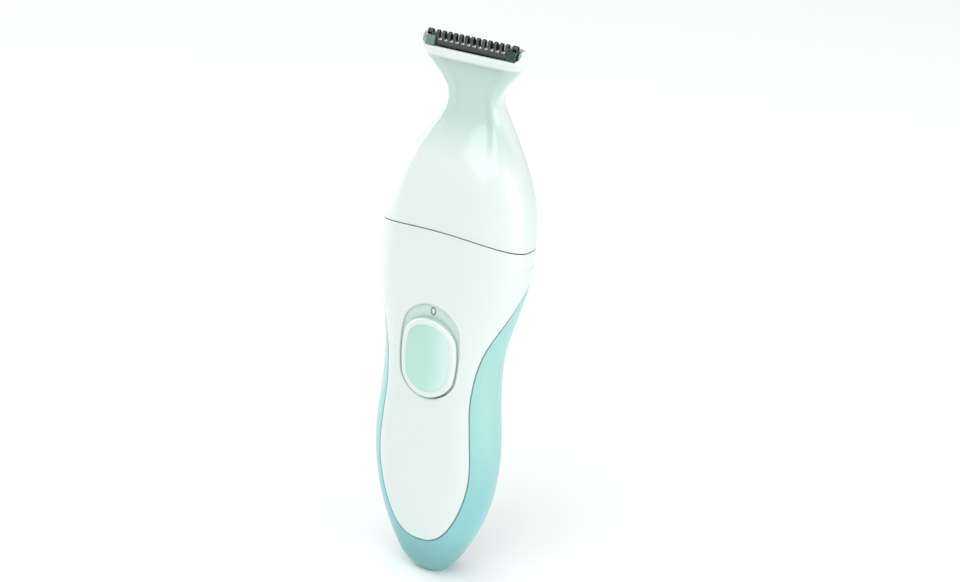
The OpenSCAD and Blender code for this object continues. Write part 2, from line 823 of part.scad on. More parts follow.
// ---------------------------------------------------------------- cutter
module cutter_blade() {
    half = comb_w / 2 - cutter_half_stroke - 0.3;
    cutter_pitch = tooth_pitch * 0.8;
    teeth = floor((2 * half - 0.8) / cutter_pitch) + 1;
    color("#17191a") {
        block([-half, cutter_y, rim_z + 0.2], [half, cutter_y + cutter_t, cutter_tooth_low]);
        for (i = [0:teeth - 1])
            translate([(i - (teeth - 1) / 2) * cutter_pitch - 0.4, 0, 0])
                block([0, cutter_y, cutter_tooth_low - 0.1], [0.8, cutter_y + cutter_t, cutter_top]);
    }
}

// Yoke that joins the cutter to the lever's finger
module cutter_carrier() {
    color(dark) difference() {
        union() {
            block([-yoke_x, -0.55, rim_z - 3.2], [yoke_x, 1.6, rim_z - 0.05]);
            block([-yoke_x, cutter_y, rim_z - 0.1], [yoke_x, 0.2, rim_z + 0.2]);
        }
        block([-0.95, -1, rim_z - 4.4], [0.95, 3, rim_z - 0.7]);
    }
}

front_cover();
rear_cover();
switch_track();
chassis();
battery_cell_left();
battery_cell_right();
cell_link();
cell_tabs();
circuit_board();
board_components();
switch_block();
charge_socket();
socket_contact();
motor_can();
motor_end_bell();
motor_terminals();
motor_brushes();
field_magnets();
motor_dampers();
drive_collar();
collar_seal();
chassis_screws();
collar_screws();
button_cap();
button_pad();
button_slider();
switch_knob();
motor_shaft();
armature();
armature_windings();
commutator();
drive_cam();
head_shell();
head_base();
pivot_bracket();
lever_pin();
blade_holder();
guard_comb();
blade_end_blocks();
blade_spring();
holder_screws();
drive_lever();
cutter_blade();
cutter_carrier();
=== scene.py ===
"""Looks of the cordless body groomer: smooth moulded shells, button, blades, finishes and studio."""

import json
import math

import bmesh
import bpy
import numpy as np
from mathutils import Matrix, Vector


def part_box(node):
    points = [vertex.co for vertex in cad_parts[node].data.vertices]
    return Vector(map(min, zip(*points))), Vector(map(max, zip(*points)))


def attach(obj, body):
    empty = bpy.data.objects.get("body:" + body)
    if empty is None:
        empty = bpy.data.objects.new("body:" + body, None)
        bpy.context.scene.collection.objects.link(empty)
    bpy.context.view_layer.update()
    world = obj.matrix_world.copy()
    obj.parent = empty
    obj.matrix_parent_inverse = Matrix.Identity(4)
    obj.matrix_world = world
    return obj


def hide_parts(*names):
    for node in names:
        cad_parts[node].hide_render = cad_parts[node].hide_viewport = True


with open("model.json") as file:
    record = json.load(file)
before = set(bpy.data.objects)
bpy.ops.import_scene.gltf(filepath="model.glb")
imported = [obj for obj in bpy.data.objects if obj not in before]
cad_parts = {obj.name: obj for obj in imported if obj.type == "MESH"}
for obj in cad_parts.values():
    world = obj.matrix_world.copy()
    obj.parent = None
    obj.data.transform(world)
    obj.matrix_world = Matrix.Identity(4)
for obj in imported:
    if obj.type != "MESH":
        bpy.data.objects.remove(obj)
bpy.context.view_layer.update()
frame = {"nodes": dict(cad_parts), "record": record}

MM = 0.001

# ---------------------------------------------------------------- the body's outline, in mm
# height, half width, front y, back y, squareness of the section
STATIONS = np.array([
    [0.0, 4.8, -3.6, 4.0, 2.3],
    [3.0, 7.5, -6.2, 6.6, 2.4],
    [8.0, 10.6, -8.0, 7.6, 2.5],
    [16.0, 14.4, -9.4, 7.9, 2.5],
    [28.0, 17.9, -10.5, 8.0, 2.5],
    [42.0, 19.0, -11.2, 7.8, 2.5],
    [58.0, 17.7, -11.4, 7.2, 2.5],
    [74.0, 18.2, -11.2, 7.0, 2.5],
    [90.0, 21.8, -10.4, 8.6, 2.5],
    [104.0, 22.1, -9.8, 10.8, 2.5],
    [116.0, 19.7, -9.0, 12.2, 2.5],
    [126.0, 14.3, -5.8, 12.0, 2.6],
    [134.0, 9.3, -1.2, 10.4, 2.8],
    [141.0, 7.9, -0.9, 7.8, 3.0],
    [146.0, 11.4, -1.5, 5.6, 3.0],
    [149.4, 14.0, -2.3, 4.2, 3.6],
    [151.5, 14.8, -3.0, 3.4, 4.0],
    [154.4, 14.8, -3.4, 3.0, 4.0],
])
# the rim's edge is level in front, rises beside the blades and stays high behind them
RIM_Z, RIM_BACK_Z = STATIONS[-2, 0], STATIONS[-1, 0]
RISE_START_Y, RISE_END_Y = -2.4, -0.4
BAY_BACK_Y = 2.1      # back of the open bay that the blades stand in
RIM_BAND = 2.7        # height of the band that stands proud round the rim
RIM_ROUND = 0.35      # radius of the rim's edge
HEAD_WALL = 1.25      # thickness of the head's visible shell

# the hollow in the front of the neck: its depth, the heights between which it deepens, and the shares of
# the half width between which it runs out
SCOOP_DEPTH = 1.3
SCOOP_START, SCOOP_FULL = 112, 131
SCOOP_FLAT, SCOOP_END = 0.55, 0.86

# the seam between the covers, seen from the side: height, y
SEAM = np.array([
    [9.0, -10.0], [12.2, -8.9], [22.0, -8.5], [34.0, -8.5], [48.0, -9.1], [62.0, -9.1],
    [76.0, -7.4], [88.0, -2.4], [94.0, 3.4], [97.5, 9.4], [99.0, 14.0],
])
SEAM_GAP = 0.17       # from the seam's middle to each cover's edge
SEAM_ROUND = 0.2      # radius of the covers' edges along the seam
SHELL = 1.3           # thickness of the covers' visible shells
TONGUE_DEPTH = 0.65   # how far the seam's floor lies below the surface
TONGUE_HALF = 1.0     # half the tongue's width
TONGUE_THICK = 0.5
TIP_ROUND = 0.45      # radius of the tip's edge

# the parting line between the handle and the head, which sags towards both sides
PARTING_TOP = 105.0
PARTING_DROP = 2.6
PARTING_HALF_GAP = 0.12
PARTING_REACH = 6.0   # how far below it the mesh rows start to bend along it
PARTING_CLEAR = 7.0   # how far above it they are level again
SHOULDER = 22.1       # half width where the line has sagged by its whole drop

EDGE_ZONE = 0.6       # width of the close rows that carry a rounded edge
CRISP = 40            # degrees: edges sharper than this stay crisp

# the button and its track, two upright pills
TRACK_R = 9.3
TRACK_LOW = 57.6
TRACK_HIGH = 84.6
TRACK_FLOOR = -9.75
TRACK_ROUND = 0.35    # radius of the cover's edge round the track
TRACK_BACK = -5.0     # how far back and forward the tool that cuts the track's hole reaches
TRACK_FRONT = -16.0
CAP_R = 8.6
CAP_LOW = 58.1
CAP_HIGH = 80.9
CAP_FACE = -12.3
CAP_RIM = 1.75        # width of the raised rim round the pad
CAP_SHOULDER = 0.7    # radius of the rim's outer edge
CAP_LIP = 0.12        # radius of the rim's inner edge
CROWN_R = 28.0        # the cap is crowned from side to side
PAD_SINK = 0.16       # how far the pad's edge lies below the crown
PAD_ROUND = 0.08      # radius of the pad's edge
PAD_DISH = 0.85       # depth of its hollow for the thumb


def spline(xs, ys):
    """Natural cubic spline through the points, as a function of an array."""
    h, n = np.diff(xs), len(xs)
    rows, rhs = np.eye(n), np.zeros(n)
    for i in range(1, n - 1):
        rows[i, i - 1:i + 2] = h[i - 1], 2 * (h[i - 1] + h[i]), h[i]
        rhs[i] = 6 * ((ys[i + 1] - ys[i]) / h[i] - (ys[i] - ys[i - 1]) / h[i - 1])
    bend = np.linalg.solve(rows, rhs)

    def value(x):
        x = np.asarray(x, float)
        i = np.clip(np.searchsorted(xs, x) - 1, 0, n - 2)
        a, b = xs[i + 1] - x, x - xs[i]
        return (bend[i] * a ** 3 + bend[i + 1] * b ** 3) / (6 * h[i]) \
            + (ys[i] / h[i] - bend[i] * h[i] / 6) * a + (ys[i + 1] / h[i] - bend[i + 1] * h[i] / 6) * b
    return value


half_width, front_y, back_y, squareness = (spline(STATIONS[:, 0], STATIONS[:, k]) for k in (1, 2, 3, 4))


def seam_y(z):
    """Depth of the seam at a height: a smooth curve whose slopes come from the neighbouring points."""
    z = np.asarray(z, float)
    t, v = SEAM[:, 0], SEAM[:, 1]
    slope = np.gradient(v, t)
    slope[1:-1] = (v[2:] - v[:-2]) / (t[2:] - t[:-2])
    i = np.clip(np.searchsorted(t, z) - 1, 0, len(t) - 2)
    h = t[i + 1] - t[i]
    u = (z - t[i]) / h
    return (2 * u ** 3 - 3 * u ** 2 + 1) * v[i] + (u ** 3 - 2 * u ** 2 + u) * h * slope[i] \
        + (3 * u ** 2 - 2 * u ** 3) * v[i + 1] + (u ** 3 - u ** 2) * h * slope[i + 1]


def ease(x, low, high):
    """0 below low, 1 above high, smooth between."""
    t = np.clip((np.asarray(x, float) - low) / (high - low), 0, 1)
    return t * t * (3 - 2 * t)


def scoop(across, z):
    """How far the front panel of the neck is hollowed at a share of the half width."""
    band_foot = RIM_Z - RIM_BAND
    along = ease(z, SCOOP_START, SCOOP_FULL) * (1 - ease(z, band_foot - 0.8, band_foot + 0.3))
    return SCOOP_DEPTH * along * (1 - ease(np.abs(across), SCOOP_FLAT, SCOOP_END))


def body(phi, z, inset=0.0):
    """Points of the body's surface: phi is the angle round from the front, z the height."""
    phi, z = np.broadcast_arrays(np.asarray(phi, float), np.asarray(z, float))
    a = half_width(z) - inset
    front, back, n = front_y(z) + inset, back_y(z) - inset, squareness(z)
    s, c = np.sin(phi), np.cos(phi)
    reach = (np.abs(s) ** n + np.abs(c) ** n) ** (-1 / n)
    x = a * reach * s
    y = (front + back) / 2 - (back - front) / 2 * reach * c
    y = y + np.where(c > 0, scoop(x / a, z) * ease(c, 0, 0.3), 0)
    return np.stack([x, y, z], -1)


def normals(phi, z):
    """Outward normals of the body's surface."""
    step = 1e-3
    sideways = body(phi + step, z) - body(phi - step, z)
    up = body(phi, z + step) - body(phi, z - step)
    n = np.cross(sideways, up)
    return n / np.linalg.norm(n, axis=-1, keepdims=True)


def parting_z(x):
    """Height of the parting line at a distance from the middle."""
    return PARTING_TOP - PARTING_DROP * (x / SHOULDER) ** 2


def crossing(edge, low, high):
    """Height at which the seam meets the outline's front or back, by halving."""
    for _ in range(50):
        mid = (low + high) / 2
        if (seam_y(mid) - edge(mid)) * (seam_y(low) - edge(low)) > 0:
            low = mid
        else:
            high = mid
    return (low + high) / 2


SEAM_FOOT = crossing(front_y, 10, 20)
SEAM_CROWN = crossing(back_y, 92, 99)


def seam_phi(z):
    """Angle of the seam round from the front: 0 at its foot, pi at its crown."""
    z = np.asarray(z, float)
    front, back, n = front_y(z), back_y(z), squareness(z)
    q = np.clip(((front + back) / 2 - seam_y(z)) / ((back - front) / 2), -1, 1)
    side = (1 - np.abs(q) ** n) ** (1 / n)
    phi = np.arctan2(side, q)
    return np.where(z <= SEAM_FOOT, 0, np.where(z >= SEAM_CROWN, math.pi, phi))


def seam_distance(phi, z):
    """Distance along the surface from the seam, in mm."""
    step = 1e-3
    gap = lambda p, h: seam_y(h) - body(p, h)[..., 1]
    d_phi = (gap(phi + step, z) - gap(phi - step, z)) / (2 * step)
    d_z = (gap(phi, z + step) - gap(phi, z - step)) / (2 * step)
    t_phi = (body(phi + step, z) - body(phi - step, z)) / (2 * step)
    t_z = (body(phi, z + step) - body(phi, z - step)) / (2 * step)
    a, b, c = (t_phi * t_phi).sum(-1), (t_phi * t_z).sum(-1), (t_z * t_z).sum(-1)
    steep = (c * d_phi ** 2 - 2 * b * d_phi * d_z + a * d_z ** 2) / np.maximum(a * c - b * b, 1e-9)
    return np.abs(gap(phi, z)) / np.sqrt(np.maximum(steep, 1e-9))


def drop(distance, radius):
    """How far a rounded edge falls away at a distance in from the edge."""
    inside = np.clip(radius - distance, 0, radius)
    return radius - np.sqrt(np.maximum(radius ** 2 - inside ** 2, 0))


# ---------------------------------------------------------------- mesh helpers
def sheet(name, points, closed=False):
    """A grid operator's mesh laid on an array of points (rows, columns, xyz in mm), poles closed."""
    rows, columns = points.shape[:2]
    bm = bmesh.new()
    bmesh.ops.create_grid(bm, x_segments=columns - 1, y_segments=rows - 1, size=1)
    for v in bm.verts:
        i = round((v.co.x + 1) / 2 * (columns - 1))
        j = round((v.co.y + 1) / 2 * (rows - 1))
        v.co = Vector(points[j, i]) * MM
    bmesh.ops.remove_doubles(bm, verts=bm.verts, dist=1e-7)
    bmesh.ops.dissolve_degenerate(bm, edges=bm.edges, dist=1e-8)
    return finish_bmesh(name, bm, recalc=closed)


def finish_bmesh(name, bm, recalc=True):
    """Makes an object of a bmesh, its faces turned outwards where it is closed."""
    if recalc:
        bmesh.ops.recalc_face_normals(bm, faces=bm.faces)
    mesh = bpy.data.meshes.new(name)
    bm.to_mesh(mesh)
    bm.free()
    mesh.shade_smooth()
    obj = bpy.data.objects.new(name, mesh)
    bpy.context.scene.collection.objects.link(obj)
    return obj


def settle(obj):
    """Applies the piece's modifiers to its mesh and keeps its sharp edges crisp."""
    graph = bpy.context.evaluated_depsgraph_get()
    mesh = bpy.data.meshes.new_from_object(obj.evaluated_get(graph))
    obj.modifiers.clear()
    obj.data = mesh
    mesh.shade_smooth()
    mesh.set_sharp_from_angle(angle=math.radians(CRISP))
    return obj


def thicken(obj, thickness):
    """Gives a skin its wall, grown inwards."""
    wall = obj.modifiers.new("wall", "SOLIDIFY")
    wall.thickness = thickness * MM
    wall.offset = -1
    wall.use_even_offset = False
    return settle(obj)


def soften(obj, width, segments):
    """Rounds a piece's edges to a radius in mm."""
    edge = obj.modifiers.new("edge", "BEVEL")
    edge.width = width * MM
    edge.segments = segments
    edge.limit_method = "ANGLE"
    edge.angle_limit = math.radians(30)
    return settle(obj)


def carve(obj, tool):
    """Cuts one closed body out of another, and clears the tool away."""
    cut = obj.modifiers.new("cut", "BOOLEAN")
    cut.object = tool
    cut.operation = "DIFFERENCE"
    cut.solver = "EXACT"
    settle(obj)
    bpy.data.objects.remove(tool)


def dress(obj, body_name, *materials, slot, stands_for=()):
    """Gives a piece its materials, the body it rides on and the nodes it stands for; slot is not used."""
    for material in materials:
        obj.data.materials.append(material)
    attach(obj, body_name)
    if stands_for:
        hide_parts(*stands_for)
    return obj


# ---------------------------------------------------------------- materials
def paint(code):
    """sRGB hex to a linear colour."""
    parts = [int(code[i:i + 2], 16) / 255 for i in (1, 3, 5)]
    return tuple(c / 12.92 if c <= 0.04045 else ((c + 0.055) / 1.055) ** 2.4 for c in parts) + (1.0,)


def add(tree, kind, inputs=(), **settings):
    """Adds a node with its settings; inputs are values or sockets to link."""
    n = tree.nodes.new("ShaderNode" + kind)
    for key, value in settings.items():
        setattr(n, key, value)
    for key, value in dict(inputs).items():
        if isinstance(value, bpy.types.NodeSocket):
            tree.links.new(value, n.inputs[key])
        else:
            n.inputs[key].default_value = value
    return n


def per_mm(size):
    """Pattern scale for Object coordinates in metres, from a feature's size in mm."""
    return 1 / (size * MM)


def base(name, shader):
    """A material with a Principled shader whose constants stay on its own sockets."""
    mat = bpy.data.materials.new(name)
    mat.use_nodes = True
    tree = mat.node_tree
    tree.nodes.clear()
    bsdf = add(tree, "BsdfPrincipled", shader)
    add(tree, "OutputMaterial", {"Surface": bsdf.outputs[0]})
    coords = add(tree, "TexCoord").outputs["Object"]
    return mat, tree, bsdf, coords


def grade(tree, bsdf, factor, low, high, socket="Base Color"):
    """Drives a socket between two colours or two numbers by a factor."""
    if isinstance(low, tuple):
        mix = add(tree, "Mix", {"Factor": factor, 6: low, 7: high}, data_type="RGBA")
        tree.links.new(mix.outputs[2], bsdf.inputs[socket])
    else:
        span = add(tree, "MapRange", {"Value": factor, "To Min": low, "To Max": high})
        tree.links.new(span.outputs[0], bsdf.inputs[socket])


def fade(mat, axis, from_mm, to_mm, code):
    """Lays a second colour over a material: full at from_mm and beyond it, gone at to_mm."""
    tree = mat.node_tree
    at = tree.nodes["Texture Coordinate"].outputs["Object"]
    colour = tree.nodes["Principled BSDF"].inputs["Base Color"]
    place = add(tree, "SeparateXYZ", {0: at}).outputs[axis]
    share = add(tree, "MapRange", {"Value": place, "From Min": from_mm * MM, "From Max": to_mm * MM},
                interpolation_type="SMOOTHSTEP")
    mix = add(tree, "Mix", {"Factor": share.outputs[0], 6: paint(code), 7: colour.links[0].from_socket},
              data_type="RGBA")
    tree.links.new(mix.outputs[2], colour)


def relief(tree, bsdf, height, depth_mm):
    """Raises the surface by a pattern, to a depth in mm."""
    bump = add(tree, "Bump", {"Height": height, "Distance": depth_mm * MM, "Strength": 1.0})
    tree.links.new(bump.outputs[0], bsdf.inputs["Normal"])


def moulded_abs(name, light, shade, rough, peel_mm, peel_depth, coat=0.0, sss=0.0):
    """ABS, injection moulded: even colour with faint flow clouds and a very fine orange peel."""
    mat, tree, bsdf, at = base(name, {
        "Roughness": rough, "IOR": 1.54, "Coat Weight": coat, "Coat Roughness": 0.08,
        "Subsurface Weight": sss, "Subsurface Scale": 1.5 * MM, "Subsurface Radius": (1.0, 1.2, 1.1)})
    flow = add(tree, "TexNoise", {"Vector": at, "Scale": per_mm(38), "Detail": 2.0, "Roughness": 0.5})
    grade(tree, bsdf, flow.outputs[0], paint(shade), paint(light))
    wear = add(tree, "TexNoise", {"Vector": at, "Scale": per_mm(9), "Detail": 3.0})
    grade(tree, bsdf, wear.outputs[0], rough * 0.85, rough * 1.2, "Roughness")
    peel = add(tree, "TexNoise", {"Vector": at, "Scale": per_mm(peel_mm), "Detail": 1.0})
    relief(tree, bsdf, peel.outputs[0], peel_depth)
    return mat


STRETCH = 12                          # how much longer than wide the ground lines are
ALONG_X = (1, STRETCH, STRETCH)
ALONG_Z = (STRETCH, STRETCH, 1)


def brushed_metal(name, light, dark, rough, line_mm, depth, along=ALONG_X):
    """Ground or rolled metal: fine parallel lines that stretch the highlight."""
    mat, tree, bsdf, at = base(name, {"Metallic": 1.0, "Roughness": rough})
    lines = add(tree, "Mapping", {"Vector": at, "Scale": along})
    grain = add(tree, "TexNoise", {"Vector": lines.outputs[0], "Scale": per_mm(line_mm * STRETCH),
                                   "Detail": 3.0})
    grade(tree, bsdf, grain.outputs[0], paint(dark), paint(light))
    grade(tree, bsdf, grain.outputs[0], rough * 0.8, rough * 1.3, "Roughness")
    relief(tree, bsdf, grain.outputs[0], depth)
    return mat


def grained_polymer(name, light, dark, rough, grain_mm, depth, sheen=0.0):
    """Nylon, acetal or rubber from a spark-eroded mould: a fine pebble grain that dulls the light."""
    mat, tree, bsdf, at = base(name, {"Roughness": rough, "IOR": 1.5, "Sheen Weight": sheen})
    grain = add(tree, "TexVoronoi", {"Vector": at, "Scale": per_mm(grain_mm)})
    cloud = add(tree, "TexNoise", {"Vector": at, "Scale": per_mm(grain_mm * 14), "Detail": 2.0})
    grade(tree, bsdf, cloud.outputs[0], paint(dark), paint(light))
    grade(tree, bsdf, cloud.outputs[0], rough * 0.9, rough * 1.1, "Roughness")
    relief(tree, bsdf, grain.outputs["Distance"], depth)
    return mat


def banded(name, light, dark, pitch_mm, metallic, rough):
    """Wound wire or stacked sheets: bands drawn about six times as coarse as the real ones, to show."""
    mat, tree, bsdf, at = base(name, {"Metallic": metallic, "Roughness": rough})
    wave_rate = 20      # radians of the wave in one unit at a scale of 1
    bands = add(tree, "TexWave", {"Vector": at, "Scale": per_mm(pitch_mm) / wave_rate, "Distortion": 0.4,
                                  "Detail": 1.0}, bands_direction="Z")
    grade(tree, bsdf, bands.outputs["Fac"], paint(dark), paint(light))
    relief(tree, bsdf, bands.outputs["Fac"], 0.04)
    return mat


def solder_mask(name):
    """Glass-epoxy board under green solder mask, with raised copper tracks."""
    mat, tree, bsdf, at = base(name, {"Roughness": 0.3, "IOR": 1.55})
    cells = add(tree, "TexBrick", {"Vector": at, "Scale": per_mm(6), "Mortar Size": 0.06,
                                   "Color1": paint("#1f6b45"), "Color2": paint("#246f49"),
                                   "Mortar": paint("#3f9468")})
    tree.links.new(cells.outputs["Color"], bsdf.inputs["Base Color"])
    relief(tree, bsdf, cells.outputs["Fac"], 0.03)
    return mat


FINISH = {
    # gloss ABS, off-white with a breath of green, from a polished mould: crisp, long highlights
    "white_shell": moulded_abs("white_gloss_abs", "#e0e9e6", "#dae5e2", 0.2, 1.4, 0.002, coat=0.4, sss=0.08),
    # ABS under a satin lacquer: the same highlights, softened
    "teal_shell": moulded_abs("teal_satin_abs", "#a3d4cf", "#9ccfca", 0.3, 0.9, 0.003, coat=0.25, sss=0.05),
    # ABS without a coat: duller than the cover round it, and a shade darker, partly painted shade of the
    # recess it lies in
    "pale_track": moulded_abs("track_abs_partly_painted_shade", "#d3e6df", "#cbe0d9", 0.28, 1.2, 0.002),
    # soft thermoplastic rubber with a matt skin, which glows at its edges
    "mint_pad": grained_polymer("mint_tpe_painted_reflection", "#d3ebe5", "#cbe6df", 0.42, 0.35, 0.004, sheen=0.15),
    # structural mouldings: dull, finely pebbled
    "grey_nylon": grained_polymer("grey_nylon", "#dadedb", "#cfd4d1", 0.55, 0.3, 0.01),
    "cream_acetal": grained_polymer("cream_acetal", "#ece8dd", "#e2ddd0", 0.4, 0.4, 0.006),
    # glass-filled nylon, almost black, without a highlight
    "dark_plastic": grained_polymer("dark_nylon", "#2b302f", "#222625", 0.45, 0.25, 0.008),
    # coated steel of the blades: dark, with a stretched grey highlight
    "comb_steel": brushed_metal("coated_comb_steel", "#6a6e6d", "#4c504f", 0.34, 0.12, 0.003),
    "cutter_steel": brushed_metal("blackened_cutter_steel", "#2c2e2e", "#1a1c1c", 0.4, 0.12, 0.003),
    # bright metal parts: nickel plate with lines along Z, and rolled brass strip
    "plated_steel": brushed_metal("nickel_plated_steel", "#c9cdd1", "#b2b7bc", 0.28, 0.1, 0.002, ALONG_Z),
    "brass_leaf": brushed_metal("brass_strip", "#d0aa62", "#b48f49", 0.3, 0.1, 0.002),
    # motor: lacquered windings that glint in rows, chalky ferrite, and the edges of stacked sheets
    "copper": banded("enamelled_copper_wire", "#c8723a", "#7d3d1c", 0.28, 0.9, 0.35),
    "magnet": grained_polymer("ferrite", "#4c4c50", "#3c3c40", 0.7, 0.2, 0.02),
    "core_steel": banded("silicon_steel_laminations", "#9a9fa4", "#6a6f74", 0.5, 1.0, 0.4),
    # shrunk film on the cells: glossy and slightly rippled
    "cell_wrap": moulded_abs("cell_shrink_film", "#4c9a70", "#3f8f63", 0.22, 2.0, 0.01, coat=0.3),
    "board_green": solder_mask("solder_mask"),
    # seals and dampers: matt rubber that soaks up the light
    "seal_rubber": grained_polymer("silicone_seal", "#67757a", "#5a686c", 0.6, 0.2, 0.008),
    "black_rubber": grained_polymer("damper_rubber", "#2a2c2e", "#212325", 0.75, 0.2, 0.015),
}
# clear dark green polycarbonate, polished; painted lighter towards the left block, a painted reflection
END_BLOCK_PAINTED_REFLECTION = moulded_abs("green_polycarbonate_painted_reflection", "#1d463b", "#173a31", 0.14, 1.5, 0.002, coat=0.5)
# pad-printed ink, a shade darker than the track
MARK_INK = moulded_abs("mark_ink", "#c6d8d2", "#c0d3cc", 0.4, 0.8, 0.002)

# the same ABS as the covers, with painted light: the neck's front is painted darker and greener as painted
# shade, the shoulder below an even near-white, and the rim's band above a touch lighter, a painted highlight
HEAD_ABS_PAINTED_LIGHT = moulded_abs("white_gloss_abs_painted_light", "#e0e9e6", "#dae5e2", 0.2, 1.4, 0.002, coat=0.4, sss=0.08)
fade(HEAD_ABS_PAINTED_LIGHT, "Y", 0.5, 3.5, "#bfd6cf")
fade(HEAD_ABS_PAINTED_LIGHT, "Z", 121, 135, "#dde7e4")
fade(HEAD_ABS_PAINTED_LIGHT, "Z", RIM_Z - RIM_BAND + 0.7, RIM_Z - RIM_BAND - 0.1, "#e6efec")
# ABS painted darker: painted shade for the skirt, which lies in the shade of the cap's rim
CAP_SKIRT_PAINTED_SHADE = moulded_abs("skirt_abs_painted_shade", "#b7cbc4", "#b0c5be", 0.3, 1.2, 0.002)

# the teal is drawn darker towards the tip, in two steps
fade(FINISH["teal_shell"], "Z", 22, 56, "#87c4c7")
fade(FINISH["teal_shell"], "Z", 0, 20, "#68a3a5")
# painted light on the pad: painted darker at its left, fading to its own paler mint at its right, in place
# of a reflection of the right light
fade(FINISH["mint_pad"], "X", -1, 6, "#b2ddd0")
# painted reflection: the left block is painted a lighter grey-green, the right one stays dark green
fade(END_BLOCK_PAINTED_REFLECTION, "X", -12, 12, "#6c877f")

for part in frame["record"]["subparts"]:
    mesh = frame["nodes"][part["node"]].data
    mesh.materials.clear()
    mesh.materials.append(FINISH[part["material_slot"]])


# ---------------------------------------------------------------- covers and head
ROWS = 150                # rows, and columns, of each cover's mesh


def edge_shares(reach):
    """Places from an edge inwards, crowded at the edge: 0 to reach."""
    return reach * np.linspace(0, 1, 7) ** 2


def spread():
    """Places from -1 to 1 with the outer 8% crowded towards both ends."""
    crowd = 1 - edge_shares(0.08)
    return np.concatenate([-crowd, np.linspace(-0.92, 0.92, ROWS)[1:-1], crowd[::-1]])


def seam_rows():
    """Heights from the seam's foot to its crown, crowded at both."""
    t = np.linspace(0, 1, ROWS)
    return SEAM_FOOT + (SEAM_CROWN - SEAM_FOOT) * (1 - np.cos(math.pi * t)) / 2


def under_parting(z, x):
    """Bends level rows so that the row at the parting's top follows the whole parting line."""
    return z + ease(z, PARTING_TOP - PARTING_REACH, PARTING_TOP) * (parting_z(x) - PARTING_TOP)


def mean_radius(z):
    """Mean of the section's half width and half depth, which turns a gap in mm into an angle."""
    return 0.5 * (half_width(z) + (back_y(z) - front_y(z)) / 2)


def front_cover():
    """The white cover: all that lies in front of the seam, and the whole ring above its crown."""
    top = PARTING_TOP - PARTING_HALF_GAP - edge_shares(EDGE_ZONE)[::-1]
    heights = np.concatenate([seam_rows(), np.linspace(SEAM_CROWN, top[0], 12)[1:-1], top])
    z, u = np.meshgrid(heights, spread(), indexing="ij")
    limit = seam_phi(z - SEAM_GAP)
    limit = np.where(limit < math.pi, np.maximum(limit - SEAM_GAP / mean_radius(z), 0), math.pi)
    limit[0] = 0
    phi = u * limit
    z_bent = under_parting(z, body(phi, z)[..., 0])
    fall = np.where(z < SEAM_CROWN, drop(seam_distance(phi, z), SEAM_ROUND), 0)
    fall = np.maximum(fall, drop(PARTING_TOP - PARTING_HALF_GAP - z, SEAM_ROUND))
    points = body(phi, z_bent) - normals(phi, z_bent) * fall[..., None]
    cover = thicken(sheet("front_cover_skin", points), SHELL)
    carve(cover, track_cutter())
    return dress(cover, "handle", FINISH["white_shell"], slot="white_shell", stands_for=["front_cover"])


def rear_cover():
    """The teal cover: all that lies behind the seam, and the whole tip below its foot."""
    foot = np.linspace(0.0, SEAM_FOOT, 30)[:-1]
    heights = np.concatenate([foot, seam_rows()])
    z, u = np.meshgrid(heights, spread(), indexing="ij")
    limit = seam_phi(z + SEAM_GAP)
    limit = np.where(limit > 0, np.minimum(limit + SEAM_GAP / mean_radius(z), math.pi), 0)
    limit[-1] = math.pi
    phi = math.pi + u * (math.pi - limit)
    fall = np.where(z > SEAM_FOOT - 1, drop(seam_distance(phi, z), SEAM_ROUND), 0)
    points = body(phi, z) - normals(phi, z) * fall[..., None]
    # the tip: rows that run out from the socket's hole and roll over the tip's edge
    hole_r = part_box("charge_socket")[1].x / MM + 0.05
    reach = np.linalg.norm(points[0, :, :2], axis=-1, keepdims=True)
    out = np.concatenate([points[0, :, :2] / reach, np.zeros_like(reach)], -1)
    rows = [out * (hole_r + (reach - TIP_ROUND - hole_r) * share) for share in np.linspace(0, 1, 4)[:-1]]
    for angle in np.linspace(math.pi / 2, 0, 6)[:-1]:
        rows.append(out * (reach - TIP_ROUND * (1 - math.cos(angle)))
                    + [0, 0, TIP_ROUND * (1 - math.sin(angle))])
    points = np.concatenate([np.array(rows), points[heights > TIP_ROUND]])
    cover = thicken(sheet("rear_cover_skin", points), SHELL)
    return dress(cover, "handle", FINISH["teal_shell"], slot="teal_shell", stands_for=["rear_cover"])


def seam_tongue():
    """The rear cover's tongue, which closes the seam's groove from behind."""
    turn = np.linspace(0, 2 * math.pi, 321)
    z = SEAM_FOOT + (SEAM_CROWN - SEAM_FOOT) * (1 - np.cos(turn)) / 2
    phi = np.where(turn <= math.pi, seam_phi(z), 2 * math.pi - seam_phi(z))
    line = body(phi, z)
    line[-1] = line[0]
    out = normals(phi, z)
    along = np.roll(line[:-1], -1, 0) - np.roll(line[:-1], 1, 0)
    along = np.concatenate([along, along[:1]])
    across = np.cross(out, along)
    across /= np.linalg.norm(across, axis=-1, keepdims=True)
    ribbon = [line - TONGUE_DEPTH * out + across * d for d in np.linspace(-TONGUE_HALF, TONGUE_HALF, 5)]
    tongue = thicken(sheet("seam_tongue", np.array(ribbon)), TONGUE_THICK)
    return dress(tongue, "handle", FINISH["teal_shell"], slot="teal_shell")


def rim_edge(y):
    """Height of the rim's edge at a depth: level, a steep rise, and level again."""
    share = np.clip((y - RISE_START_Y) / (RISE_END_Y - RISE_START_Y), 0, 1)
    return RIM_Z + (RIM_BACK_Z - RIM_Z) * share


